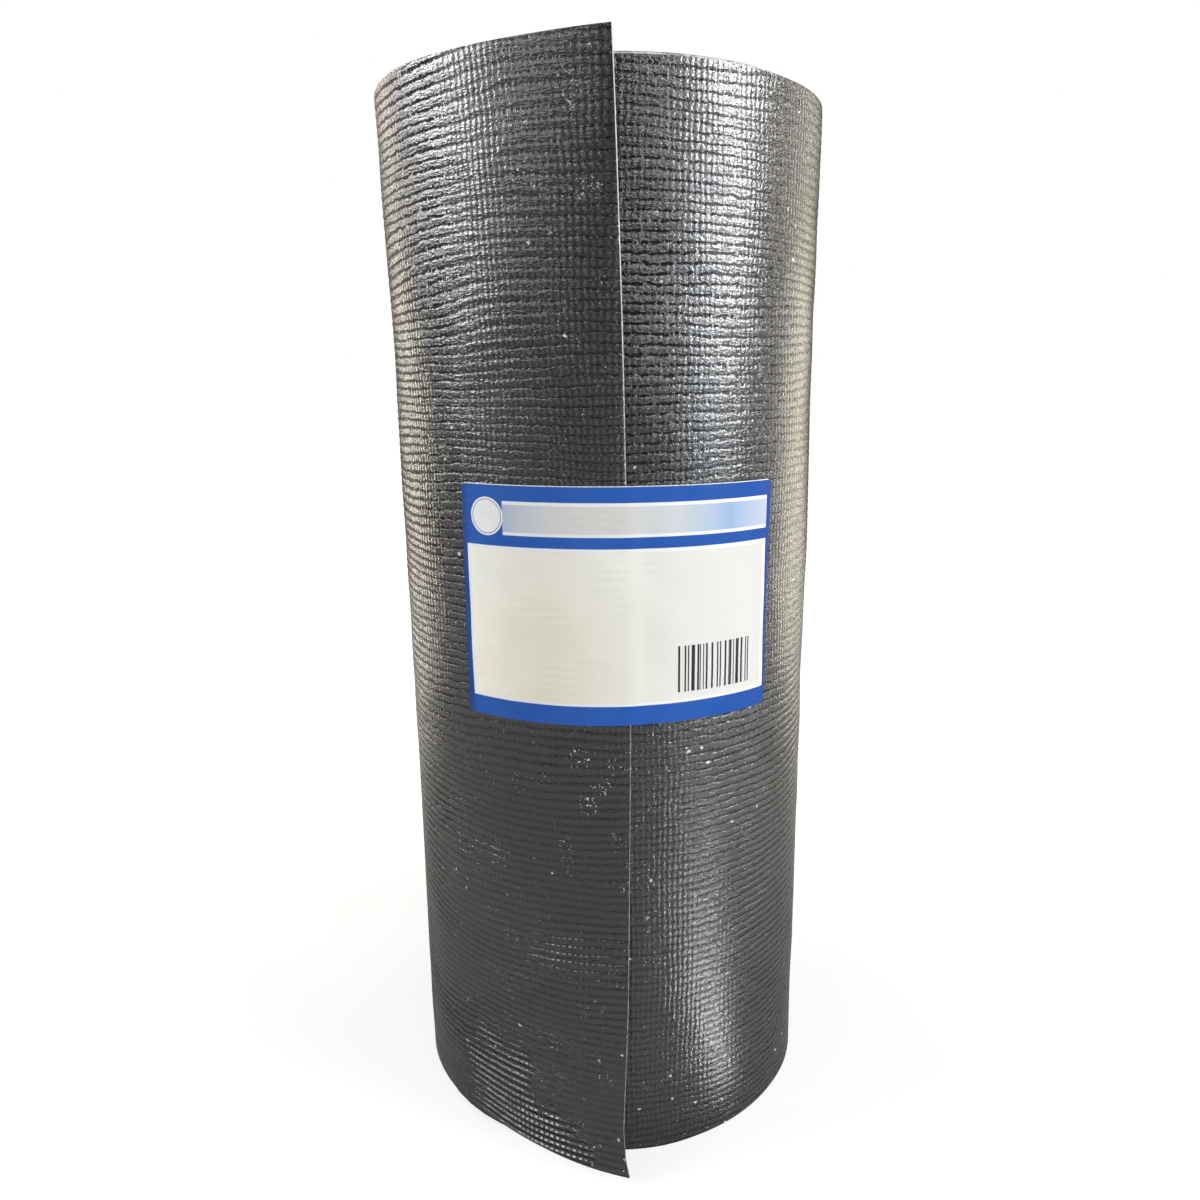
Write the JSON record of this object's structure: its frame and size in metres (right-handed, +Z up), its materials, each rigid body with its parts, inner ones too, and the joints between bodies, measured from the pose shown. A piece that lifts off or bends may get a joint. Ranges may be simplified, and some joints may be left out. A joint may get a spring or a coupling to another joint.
{
  "type": "roll of polyethylene flashing",
  "caption": "Standing roll of dark woven polyethylene flashing with an open bore, its free end sprung off the roll above and below a paper label.",
  "frame": {"origin": "on the axis of the bore, in the plane that the roll stands on", "axes": "+Z up along the bore, -Y towards the label and the cut edge of the sheet, +X to the right of someone facing the label"},
  "size_m": [0.1946, 0.2147, 0.4611],
  "materials": {
    "coated_sheet": "dark charcoal polyethylene coating over a woven sheet, semi-gloss, with raised crosswise ribs",
    "label_paper": "coated label paper, cream with blue and silver-grey printed bands, no lettering"
  },
  "bodies": {
    "root": {"roll": "coated_sheet", "label": "label_paper"}
  },
  "joints": []
}
